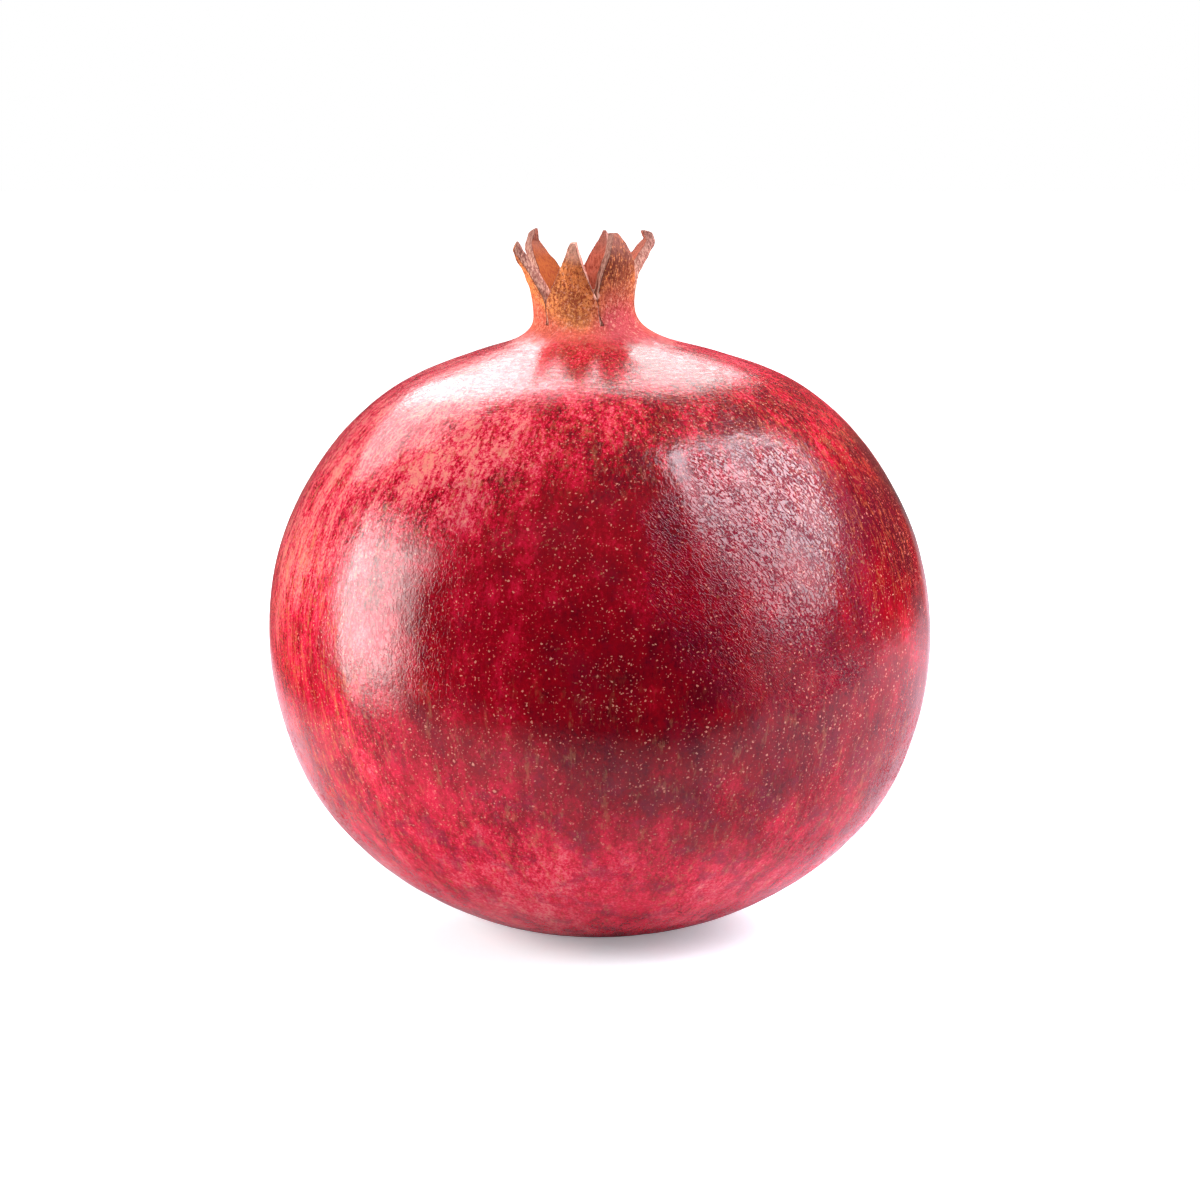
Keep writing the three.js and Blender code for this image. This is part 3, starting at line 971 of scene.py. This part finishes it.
@dataclass
class StamenTuft:
    """The tuft of dried stamens in the calyx tube, on its round pad, with the style among them."""

    foot: float = 90.3 * MM
    pad_radius: float = 4.6 * MM
    pad_height: float = 2.0 * MM
    pad_sides: int = 28
    pad_insets: tuple[Edge, ...] = ((0.9 * MM, 0.25 * MM), (1.2 * MM, 0.15 * MM), (1.2 * MM, -0.1 * MM))
    pad_bevel: float = 0.15 * MM
    planted: float = 0.86
    sunk: float = 1.0 * MM
    threads: int = 84
    thread_radius: float = 0.17 * MM
    bead_radius: float = 0.42 * MM
    stem: tuple[Edge, ...] = ((1.0, 0.15), (1.0, 0.15), (0.95, 0.15), (0.9, 0.15), (0.85, 0.15), (0.8, 0.13))
    lowest_tip: float = 94.3 * MM
    highest_tip: float = 97.3 * MM
    reach: float = 4.5 * MM
    sway: float = 0.35 * MM
    sides: int = 5
    front: Course = Course(math.radians(17.5), 1.6 * MM, 5.0 * MM, 97.4 * MM, 1.35)
    style: Course = Course(0.0, 0.0, 0.3 * MM, 97.8 * MM, 1.2)
    seed: int = 7

    def build(self) -> Thing:
        """Makes the tuft and dresses it.

        Returns:
            The finished piece.
        """
        draw = random.Random(self.seed)
        model = self._model_thread()
        parts = [self._pad()]
        courses = [self._course(number, draw) for number in range(self.threads)]
        for course in (*courses, self.front, self.style):
            parts.append(self._copy(model, course))
        bpy.data.objects.remove(model)
        piece = self._join(parts)
        piece.data.materials.append(StamenFinish().make())
        pick(piece)
        bpy.ops.object.shade_smooth()
        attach(piece, "root")
        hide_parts("stamens")
        return piece

    def _model_thread(self) -> Thing:
        """Models one upright thread with a bead on its tip.

        Returns:
            The thread, a metre tall in its own measure.
        """
        bpy.ops.object.select_all(action="DESELECT")
        bpy.ops.mesh.primitive_circle_add(vertices=self.sides, radius=self.thread_radius, fill_type="NGON")
        model = bpy.context.active_object
        bead = self.bead_radius / self.thread_radius
        steps = [*self.stem, (bead * 1.5, 0.03), (1.5, 0.04), (0.62, 0.04)]
        with edited(model):
            for scale, rise in steps:
                bpy.ops.mesh.extrude_region_move(TRANSFORM_OT_translate={"value": (0.0, 0.0, rise)})
                bpy.ops.transform.resize(value=(scale, scale, 1.0))
            bpy.ops.mesh.select_all(action="SELECT")
            bpy.ops.mesh.normals_make_consistent(inside=False)
        return model

    def _course(self, number: int, draw: random.Random) -> Course:
        """Draws one thread's course; the threads turn by the golden angle, evenly over the pad.

        Args:
            number: the thread's number.
            draw: the source of chance.

        Returns:
            The course.
        """
        share = math.sqrt((number + 0.5) / self.threads)
        turn = number * math.pi * (3.0 - math.sqrt(5.0)) + draw.uniform(-0.3, 0.3)
        foot = self.pad_radius * self.planted * share
        tip = min(self.reach, foot + draw.uniform(-0.9, 1.1) * MM)
        top = draw.uniform(self.lowest_tip, self.highest_tip) - 1.2 * MM * share * share
        return Course(turn, foot, tip, top, draw.uniform(0.8, 1.2))

    def _copy(self, model: Thing, course: Course) -> Thing:
        """A copy of the model thread, bent along its own course.

        Args:
            model: the upright thread.
            course: where it stands and leans.

        Returns:
            The copy, with its own mesh.
        """
        made = model.copy()
        made.data = model.data.copy()
        bpy.context.scene.collection.objects.link(made)
        points = vectors_of(made.data.vertices, "co")
        share = np.clip(points[:, 2], 0.0, 1.0)
        tall = course.top - self.foot - self.sunk
        out = course.foot + (course.tip - course.foot) * share * share
        sway = self.sway * np.sin(share * math.pi * 1.4 + course.turn * 3.0) * share
        ahead = np.array([math.sin(course.turn), -math.cos(course.turn)])
        side = np.array([ahead[1], -ahead[0]])
        middle = np.array([CROWN_AXIS_X, 0.0]) + out[:, None] * ahead + sway[:, None] * side
        points[:, :2] = points[:, :2] * course.girth + middle
        points[:, 2] = self.foot + self.sunk + tall * share
        made.data.vertices.foreach_set("co", points.ravel())
        return made

    def _pad(self) -> Thing:
        """Models the low domed pad that the threads grow from.

        Returns:
            The pad.
        """
        bpy.ops.object.select_all(action="DESELECT")
        bpy.ops.mesh.primitive_cylinder_add(
            vertices=self.pad_sides,
            radius=self.pad_radius,
            depth=self.pad_height,
            location=(CROWN_AXIS_X, 0.0, self.foot + self.pad_height / 2),
        )
        pad = bpy.context.active_object
        with edited(pad, select_all=False):
            self._select_top(pad)
            for inset, rise in self.pad_insets:
                bpy.ops.mesh.inset(thickness=inset, depth=rise)
            bpy.ops.mesh.select_all(action="SELECT")
            bpy.ops.mesh.bevel(offset=self.pad_bevel, segments=1, affect="EDGES", clamp_overlap=True)
        return pad

    @staticmethod
    def _select_top(piece: Thing) -> None:
        """Selects the faces that face straight up.

        Args:
            piece: the piece, in edit mode.
        """
        shape = bmesh.from_edit_mesh(piece.data)
        for face in shape.faces:
            face.select = face.normal.z > 0.9
        bmesh.update_edit_mesh(piece.data)

    @staticmethod
    def _join(parts: list[Thing]) -> Thing:
        """Joins the parts.

        Args:
            parts: the pad and the threads.

        Returns:
            One piece whose place is in its mesh.
        """
        bpy.ops.object.select_all(action="DESELECT")
        for part in parts:
            part.select_set(True)
        bpy.context.view_layer.objects.active = parts[0]
        bpy.ops.object.join()
        piece = bpy.context.active_object
        piece.name = piece.data.name = "stamen_tuft"
        bpy.ops.object.transform_apply()
        return piece


@dataclass(frozen=True)
class Panel:
    """A soft studio panel that shines at the fruit, from a direction in degrees.

    Its edges fade over soft, a share of its size. Its lower near corner is cut off, and at its lower edge it
    has only the share foot of its light.
    """

    name: str
    turn: float
    rise: float
    away: float
    wide: float
    tall: float
    glow: float
    roll: float = 0.0
    tint: Colour = WHITE
    soft: float = 0.02
    cut: Edge = (0.01, 0.01)
    cut_fade: Edge = (0.92, 1.10)
    foot: float = 1.0
    foot_height: float = 0.7

    def place(self) -> Thing:
        """Sets the panel up.

        Returns:
            The light.
        """
        light = bpy.data.lights.new(self.name, "AREA")
        light.shape = "RECTANGLE"
        light.size = self.wide
        light.size_y = self.tall
        light.energy = self.glow * math.pi * self.wide * self.tall
        light.color = self.tint
        self._shade(light)
        made = bpy.data.objects.new(self.name, light)
        outward = Vector(direction(self.turn, self.rise))
        made.location = Vector((0.0, 0.0, FRUIT_MIDDLE)) + outward * self.away
        upright = outward.to_track_quat("Z", "Y")
        made.rotation_euler = (upright @ Quaternion((0.0, 0.0, 1.0), math.radians(self.roll))).to_euler()
        made.visible_camera = False
        bpy.context.scene.collection.objects.link(made)
        return made

    def _shade(self, light: bpy.types.Light) -> None:
        """Lets the panel fade towards its edges, its foot and its cut corner.

        Args:
            light: the panel's light.
        """
        bench = Bench(light)
        across, upward, _ = bench.split(bench.out("ShaderNodeNewGeometry", "Parametric"))
        wide, tall = self.cut
        strength = (across * (1.0 / wide) + upward * (1.0 / tall)).step(*self.cut_fade)
        strength = strength * (upward.step(0.0, self.foot_height) * (1.0 - self.foot) + self.foot)
        for way in (across, upward):
            strength = strength * way.step(0.0, self.soft) * way.step(1.0, 1.0 - self.soft)
        shine = bench.out("ShaderNodeEmission", 0, None, {"Strength": strength})
        bench.node("ShaderNodeOutputLight", None, {0: shine})


@dataclass
class Studio:
    """A plain pale floor, soft panels to either side and behind, and a long camera a little above the fruit.

    For light that doesn't reach the camera straight, the floor starts only at sheet_left and sheet_front.
    """

    panels: tuple[Panel, ...] = (
        Panel("left_panel", -80, 10.0, 0.50, 0.52, 0.58, 11.8, soft=0.30),
        Panel("left_panel_foot", -78, -15, 0.50, 0.38, 0.22, 4.0, soft=0.4),
        Panel(
            "right_panel", 71.7, 36.6, 0.50, 0.51, 0.63, 11.8,
            roll=-27.9, tint=(1.0, 0.95, 1.05), soft=0.06, cut=(0.6, 0.65), foot=0.5,
        ),
        Panel("right_panel_foot", 65.6, -4.0, 0.50, 0.30, 0.16, 0.9, roll=-4.3, soft=0.3),
        Panel("rear_top_panel", 186, 43.5, 0.60, 0.47, 0.39, 5.2, soft=0.10),
        Panel("rear_left_panel", -142, 42, 0.60, 0.40, 0.30, 3.2),
    )
    floor_half: float = 3.0
    sheet_left: float = -0.115
    sheet_front: float = -0.105
    sheet_soft: float = 0.032
    mirrored_white: Colour = (0.48, 0.42, 0.47)
    paint: Colour = (0.88, 1.20, 1.20)
    lift: Colour = (0.29, 0.25, 0.265)
    far: Edge = (0.22, 0.75)
    far_glow_unseen: float = 0.15
    sky_front: float = 0.02
    sky_behind: float = 0.04
    sky_above: float = 0.12
    lens: float = 119.16
    camera_away: float = 0.6
    camera_rise: float = 8.0
    aim: Triple = (0.0002, 0.0, 0.0502)

    def build(self) -> None:
        """Sets up the floor, the light, the camera and how the picture is developed."""
        self._floor()
        for panel in self.panels:
            panel.place()
        self._sky()
        self._camera()
        bpy.context.scene.view_settings.view_transform = "Standard"

    def _floor(self) -> None:
        """Lays a wide pale floor, evenly bright in the distance."""
        bpy.ops.object.select_all(action="DESELECT")
        bpy.ops.mesh.primitive_plane_add(size=self.floor_half * 2)
        floor = bpy.context.active_object
        floor.name = "studio_floor"
        bench = Bench(bpy.data.materials.new("studio_floor"))
        place = bench.out("ShaderNodeTexCoord", "Object")
        across, inward, _ = bench.split(place)
        soft = self.sheet_soft
        on_sheet = across.step(self.sheet_left - soft, self.sheet_left + soft)
        on_sheet = on_sheet * inward.step(self.sheet_front - soft, self.sheet_front + soft)
        seen = bench.out("ShaderNodeLightPath", "Is Camera Ray")
        mirrored = bench.out("ShaderNodeLightPath", "Is Glossy Ray")
        white = seen.blend(mirrored.blend(WHITE, self.mirrored_white), self.paint)
        paint = bench.out("ShaderNodeBsdfDiffuse", 0, None, {"Color": white})
        far = bench.vector("LENGTH", place).step(*self.far)
        glow = bench.maths("MAXIMUM", seen, self.far_glow_unseen) * far
        shine = bench.out("ShaderNodeEmission", 0, None, {"Strength": glow})
        lift = bench.out("ShaderNodeEmission", 0, None, {"Color": self.lift, "Strength": seen})
        both = bench.out("ShaderNodeAddShader", 0, None, {0: paint, 1: shine})
        both = bench.out("ShaderNodeAddShader", 0, None, {0: both, 1: lift})
        open_air = bench.out("ShaderNodeBsdfTransparent", 0)
        there = bench.maths("MAXIMUM", seen, on_sheet)
        whole = bench.out("ShaderNodeMixShader", 0, None, {0: there, 1: open_air, 2: both})
        bench.node("ShaderNodeOutputMaterial", None, {0: whole})
        floor.data.materials.append(bench.owner)

    def _sky(self) -> None:
        """Sets the studio's own soft light: dim in front, brighter behind and above, white to the camera."""
        world = bpy.data.worlds.new("studio")
        bpy.context.scene.world = world
        bench = Bench(world)
        way = bench.out("ShaderNodeTexCoord", "Generated")
        behind = bench.vector("DOT_PRODUCT", way, (0.0, 1.0, 0.0)).step(-0.5, 0.6)
        above = bench.vector("DOT_PRODUCT", way, (0.0, 0.0, 1.0)).step(0.1, 1.0)
        glow = behind * self.sky_behind + above * self.sky_above + self.sky_front
        glow = bench.maths("MAXIMUM", glow, bench.out("ShaderNodeLightPath", "Is Camera Ray"))
        tint = bench.out("ShaderNodeCombineColor", 0, None, {0: glow, 1: glow, 2: glow})
        background = bench.out("ShaderNodeBackground", 0, None, {"Color": tint})
        bench.node("ShaderNodeOutputWorld", None, {0: background})

    def _camera(self) -> None:
        """Sets up a long lens at a low angle, in front of the fruit."""
        camera = bpy.data.cameras.new("camera")
        camera.lens = self.lens
        camera.dof.use_dof = False
        made = bpy.data.objects.new("camera", camera)
        back = Vector(direction(0.0, self.camera_rise))
        made.location = Vector(self.aim) + back * self.camera_away
        made.rotation_euler = back.to_track_quat("Z", "Y").to_euler()
        bpy.context.scene.collection.objects.link(made)
        bpy.context.scene.camera = made


def main() -> None:
    """Builds the fruit and the studio round it."""
    logging.basicConfig(level=logging.INFO, format="%(name)s: %(message)s")
    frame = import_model()
    for builder in (Rind(frame["nodes"]["fruit"]), StamenTuft()):
        piece = builder.build()
        LOG.info("%s: %d faces", piece.name, len(piece.data.polygons))
    Studio().build()


if __name__ == "__main__":
    main()
